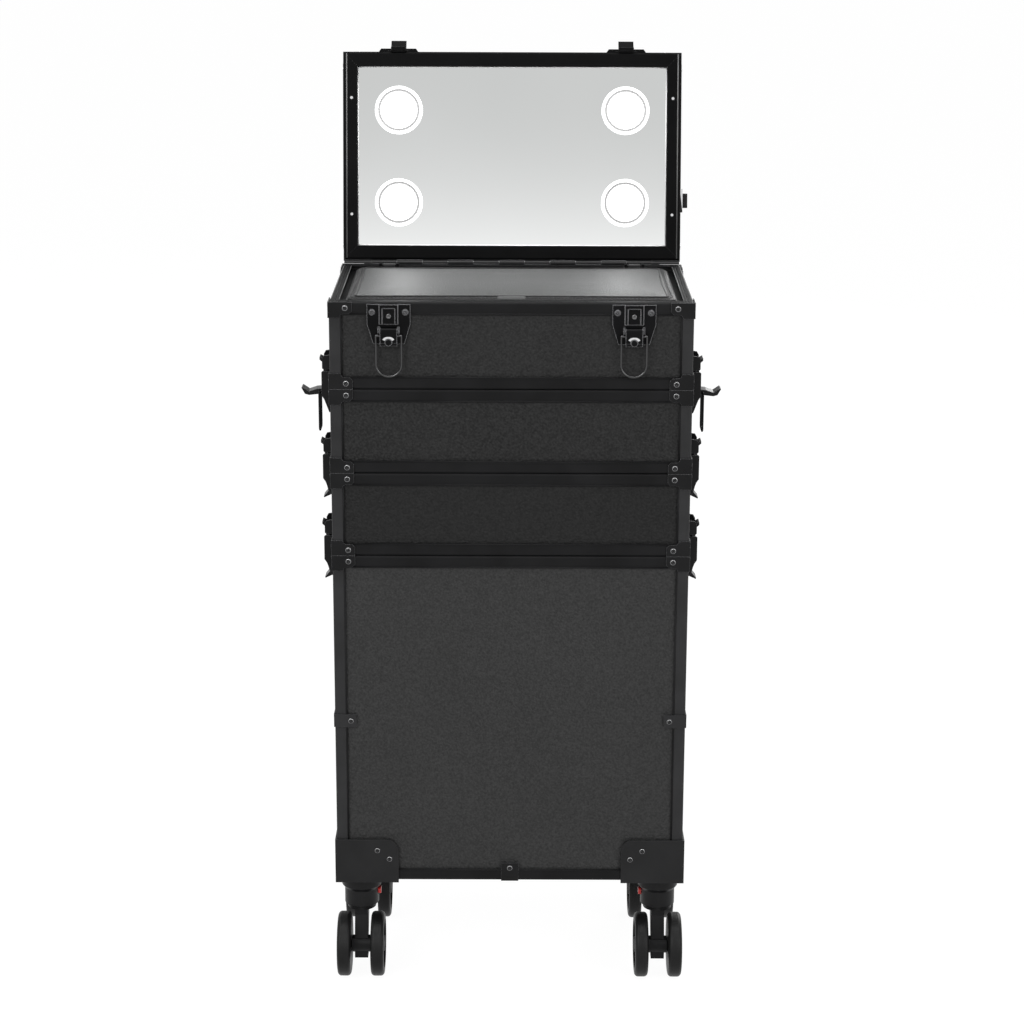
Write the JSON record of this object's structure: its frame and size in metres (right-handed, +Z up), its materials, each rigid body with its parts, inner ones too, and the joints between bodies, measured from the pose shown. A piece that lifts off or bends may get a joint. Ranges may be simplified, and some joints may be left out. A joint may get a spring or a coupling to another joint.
{
  "type": "rolling makeup case",
  "caption": "Tall stacking vanity trolley: deep bin on spinner casters, shallow trays, top case with padded cover and lighted mirror lid, joined by draw latches.",
  "frame": {"origin": "on the floor under the middle of the stacked sections", "axes": "+Z up, +X to the right seen from the front, front face towards -Y"},
  "size_m": [0.4246, 0.3136, 0.9594],
  "materials": {
    "covered_board": "grained black leatherette on board",
    "black_edge": "satin black aluminium angle",
    "black_fitting": "black plated steel",
    "black_plastic": "moulded black plastic",
    "tread": "black polyurethane wheel",
    "cover_skin": "dark silver leatherette over foam",
    "looking_glass": "silvered glass",
    "lamp_lens": "white diffuser",
    "red_tab": "red plastic"
  },
  "bodies": {
    "bin_stack": {"bin_boards": "covered_board", "bin_edges": "black_edge", "bin_corner_guards": "black_plastic", "bin_fittings": "black_fitting", "lower_tray_boards": "covered_board", "lower_tray_edges": "black_edge", "lower_tray_fittings": "black_fitting", "upper_tray_boards": "covered_board", "upper_tray_edges": "black_edge", "upper_tray_fittings": "black_fitting", "stack_latch_keepers": "black_fitting", "stack_latch_bases": "black_fitting", "caster_sockets": "black_plastic"},
    "vanity": {"vanity_boards": "covered_board", "vanity_edges": "black_edge", "vanity_fittings": "black_fitting", "vanity_latch_keepers": "black_fitting", "cover_ledge": "black_edge", "front_latch_plates": "black_fitting", "hinge_case_leaves": "black_fitting"},
    "cover": {"cover_board": "black_plastic", "cover_pad": "cover_skin", "cover_tab": "cover_skin"},
    "lid": {"lid_boards": "covered_board", "lid_edges": "black_edge", "lid_fittings": "black_fitting", "lid_hinge_leaves": "black_fitting", "mirror_glass": "looking_glass", "lamps": "lamp_lens", "lid_keepers": "black_fitting"},
    "lamp_switch": {"lamp_switch": "black_plastic"},
    "carry_handle": {"carry_handle": "black_plastic"},
    "front_lever_left": {"front_lever_left": "black_fitting"},
    "front_bail_left": {"front_bail_left": "black_fitting"},
    "front_lever_right": {"front_lever_right": "black_fitting"},
    "front_bail_right": {"front_bail_right": "black_fitting"},
    "lever_top_left": {"lever_top_left": "black_fitting"},
    "bail_top_left": {"bail_top_left": "black_fitting"},
    "lever_top_right": {"lever_top_right": "black_fitting"},
    "bail_top_right": {"bail_top_right": "black_fitting"},
    "lever_middle_left": {"lever_middle_left": "black_fitting"},
    "bail_middle_left": {"bail_middle_left": "black_fitting"},
    "lever_middle_right": {"lever_middle_right": "black_fitting"},
    "bail_middle_right": {"bail_middle_right": "black_fitting"},
    "lever_bottom_left": {"lever_bottom_left": "black_fitting"},
    "bail_bottom_left": {"bail_bottom_left": "black_fitting"},
    "lever_bottom_right": {"lever_bottom_right": "black_fitting"},
    "bail_bottom_right": {"bail_bottom_right": "black_fitting"},
    "fork_front_left": {"fork_front_left": "black_plastic"},
    "wheels_front_left": {"wheels_front_left": "tread"},
    "release_front_left": {"release_front_left": "red_tab"},
    "fork_front_right": {"fork_front_right": "black_plastic"},
    "wheels_front_right": {"wheels_front_right": "tread"},
    "release_front_right": {"release_front_right": "red_tab"},
    "fork_back_left": {"fork_back_left": "black_plastic"},
    "wheels_back_left": {"wheels_back_left": "tread"},
    "release_back_left": {"release_back_left": "red_tab"},
    "fork_back_right": {"fork_back_right": "black_plastic"},
    "wheels_back_right": {"wheels_back_right": "tread"},
    "release_back_right": {"release_back_right": "red_tab"}
  },
  "joints": [
    {"name": "vanity_lift", "type": "slide", "parent": "bin_stack", "child": "vanity", "axis": [0, 0, 1], "range_m": [0, 0.12]},
    {"name": "lid_hinge", "type": "hinge", "parent": "vanity", "child": "lid", "pos_m": [0, 0.1138, 0.729], "axis": [-1, 0, 0], "range_deg": [-100, 0]},
    {"name": "cover_hinge", "type": "hinge", "parent": "vanity", "child": "cover", "pos_m": [0, 0.091, 0.73], "axis": [-1, 0, 0], "range_deg": [0, 80]},
    {"name": "lamp_press", "type": "slide", "parent": "lid", "child": "lamp_switch", "axis": [-1, 0, 0], "range_m": [0, 0.0015], "stiffness_N_per_m": 400},
    {"name": "handle_fold", "type": "hinge", "parent": "lid", "child": "carry_handle", "pos_m": [0, 0.17522, 0.83373], "axis": [1, 0, 0], "range_deg": [0, 90]},
    {"name": "front_latch_left", "type": "hinge", "parent": "vanity", "child": "front_lever_left", "pos_m": [-0.121, -0.115, 0.701], "axis": [-1, 0, 0], "range_deg": [0, 100]},
    {"name": "front_loop_left", "type": "hinge", "parent": "front_lever_left", "child": "front_bail_left", "pos_m": [-0.121, -0.115, 0.696], "axis": [1, 0, 0], "range_deg": [-165, 0]},
    {"name": "front_latch_right", "type": "hinge", "parent": "vanity", "child": "front_lever_right", "pos_m": [0.121, -0.115, 0.701], "axis": [-1, 0, 0], "range_deg": [0, 100]},
    {"name": "front_loop_right", "type": "hinge", "parent": "front_lever_right", "child": "front_bail_right", "pos_m": [0.121, -0.115, 0.696], "axis": [1, 0, 0], "range_deg": [-165, 0]},
    {"name": "latch_top_left", "type": "hinge", "parent": "bin_stack", "child": "lever_top_left", "pos_m": [-0.186, -0.055, 0.629], "axis": [0, 1, 0], "range_deg": [-85, 25]},
    {"name": "loop_top_left", "type": "hinge", "parent": "lever_top_left", "child": "bail_top_left", "pos_m": [-0.19397, -0.055, 0.6283], "axis": [0, 1, 0], "range_deg": [-25, 85]},
    {"name": "latch_top_right", "type": "hinge", "parent": "bin_stack", "child": "lever_top_right", "pos_m": [0.186, -0.055, 0.629], "axis": [0, -1, 0], "range_deg": [-85, 25]},
    {"name": "loop_top_right", "type": "hinge", "parent": "lever_top_right", "child": "bail_top_right", "pos_m": [0.19397, -0.055, 0.6283], "axis": [0, -1, 0], "range_deg": [-25, 85]},
    {"name": "latch_middle_left", "type": "hinge", "parent": "bin_stack", "child": "lever_middle_left", "pos_m": [-0.186, -0.055, 0.543], "axis": [0, 1, 0], "range_deg": [0, 90]},
    {"name": "loop_middle_left", "type": "hinge", "parent": "lever_middle_left", "child": "bail_middle_left", "pos_m": [-0.186, -0.055, 0.535], "axis": [0, 1, 0], "range_deg": [-76.5, 0]},
    {"name": "latch_middle_right", "type": "hinge", "parent": "bin_stack", "child": "lever_middle_right", "pos_m": [0.186, -0.055, 0.543], "axis": [0, -1, 0], "range_deg": [0, 90]},
    {"name": "loop_middle_right", "type": "hinge", "parent": "lever_middle_right", "child": "bail_middle_right", "pos_m": [0.186, -0.055, 0.535], "axis": [0, -1, 0], "range_deg": [-76.5, 0]},
    {"name": "latch_bottom_left", "type": "hinge", "parent": "bin_stack", "child": "lever_bottom_left", "pos_m": [-0.186, -0.055, 0.457], "axis": [0, 1, 0], "range_deg": [0, 90]},
    {"name": "loop_bottom_left", "type": "hinge", "parent": "lever_bottom_left", "child": "bail_bottom_left", "pos_m": [-0.186, -0.055, 0.449], "axis": [0, 1, 0], "range_deg": [-76.5, 0]},
    {"name": "latch_bottom_right", "type": "hinge", "parent": "bin_stack", "child": "lever_bottom_right", "pos_m": [0.186, -0.055, 0.457], "axis": [0, -1, 0], "range_deg": [0, 90]},
    {"name": "loop_bottom_right", "type": "hinge", "parent": "lever_bottom_right", "child": "bail_bottom_right", "pos_m": [0.186, -0.055, 0.449], "axis": [0, -1, 0], "range_deg": [-76.5, 0]},
    {"name": "swivel_front_left", "type": "hinge", "parent": "bin_stack", "child": "fork_front_left", "pos_m": [-0.157, -0.074, 0.08], "axis": [0, 0, 1], "continuous": true},
    {"name": "roll_front_left", "type": "hinge", "parent": "fork_front_left", "child": "wheels_front_left", "pos_m": [-0.157, -0.091, 0.034], "axis": [1, 0, 0], "continuous": true},
    {"name": "release_front_left", "type": "slide", "parent": "bin_stack", "child": "release_front_left", "axis": [-1, 0, 0], "range_m": [0, 0.002], "stiffness_N_per_m": 400},
    {"name": "swivel_front_right", "type": "hinge", "parent": "bin_stack", "child": "fork_front_right", "pos_m": [0.157, -0.074, 0.08], "axis": [0, 0, 1], "continuous": true},
    {"name": "roll_front_right", "type": "hinge", "parent": "fork_front_right", "child": "wheels_front_right", "pos_m": [0.157, -0.091, 0.034], "axis": [1, 0, 0], "continuous": true},
    {"name": "release_front_right", "type": "slide", "parent": "bin_stack", "child": "release_front_right", "axis": [1, 0, 0], "range_m": [0, 0.002], "stiffness_N_per_m": 400},
    {"name": "swivel_back_left", "type": "hinge", "parent": "bin_stack", "child": "fork_back_left", "pos_m": [-0.157, 0.074, 0.08], "axis": [0, 0, 1], "continuous": true},
    {"name": "roll_back_left", "type": "hinge", "parent": "fork_back_left", "child": "wheels_back_left", "pos_m": [-0.157, 0.057, 0.034], "axis": [1, 0, 0], "continuous": true},
    {"name": "release_back_left", "type": "slide", "parent": "bin_stack", "child": "release_back_left", "axis": [-1, 0, 0], "range_m": [0, 0.002], "stiffness_N_per_m": 400},
    {"name": "swivel_back_right", "type": "hinge", "parent": "bin_stack", "child": "fork_back_right", "pos_m": [0.157, 0.074, 0.08], "axis": [0, 0, 1], "continuous": true},
    {"name": "roll_back_right", "type": "hinge", "parent": "fork_back_right", "child": "wheels_back_right", "pos_m": [0.157, 0.057, 0.034], "axis": [1, 0, 0], "continuous": true},
    {"name": "release_back_right", "type": "slide", "parent": "bin_stack", "child": "release_back_right", "axis": [1, 0, 0], "range_m": [0, 0.002], "stiffness_N_per_m": 400}
  ],
  "couplings": [
    {"joint": "loop_top_left", "follows": "latch_top_left", "ratio": -1},
    {"joint": "loop_top_right", "follows": "latch_top_right", "ratio": -1},
    {"joint": "loop_middle_left", "follows": "latch_middle_left", "ratio": -0.85},
    {"joint": "loop_middle_right", "follows": "latch_middle_right", "ratio": -0.85},
    {"joint": "loop_bottom_left", "follows": "latch_bottom_left", "ratio": -0.85},
    {"joint": "loop_bottom_right", "follows": "latch_bottom_right", "ratio": -0.85}
  ]
}
